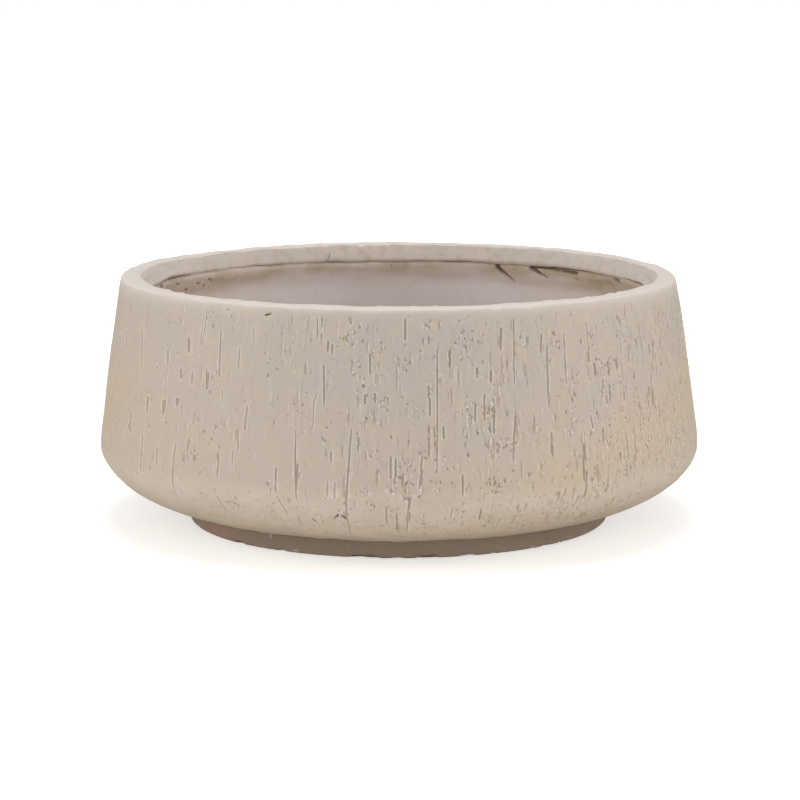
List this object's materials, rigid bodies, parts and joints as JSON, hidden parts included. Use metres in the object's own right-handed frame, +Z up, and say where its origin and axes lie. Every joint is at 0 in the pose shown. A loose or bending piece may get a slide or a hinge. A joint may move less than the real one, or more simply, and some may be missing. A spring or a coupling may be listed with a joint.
{
  "type": "bowl planter",
  "caption": "Wide, low round bowl planter in bark-textured fibre concrete, with an inward-leaning wall, a smooth inner rim band, a recessed foot ring and a lift-out drain plug.",
  "frame": {"origin": "on the ground, in the middle of the foot ring's footprint", "axes": "+Z up along the bowl's axis of turning, out of its mouth; +Y is away from the picture's viewer and +X to the viewer's right"},
  "size_m": [0.6, 0.6, 0.247],
  "materials": {
    "face_concrete": "matt, bark-textured cast face, warm grey-beige",
    "glass_fibre": "chopped-strand mat",
    "lining_concrete": "matt, hand-laid and brushed",
    "foot_concrete": "matt, smooth cast",
    "grey_plastic": "matt moulded",
    "black_rubber": "matt moulded"
  },
  "bodies": {
    "planter": {"bowl_shell": "face_concrete", "fibre_mat": "glass_fibre", "lining_coat": "lining_concrete", "foot_ring": "foot_concrete", "drain_sleeve": "grey_plastic"},
    "plug": {"drain_plug": "black_rubber"}
  },
  "joints": [
    {"name": "plug_lift", "type": "slide", "parent": "planter", "child": "plug", "axis": [0, 0, 1], "range_m": [0, 0.24]}
  ]
}
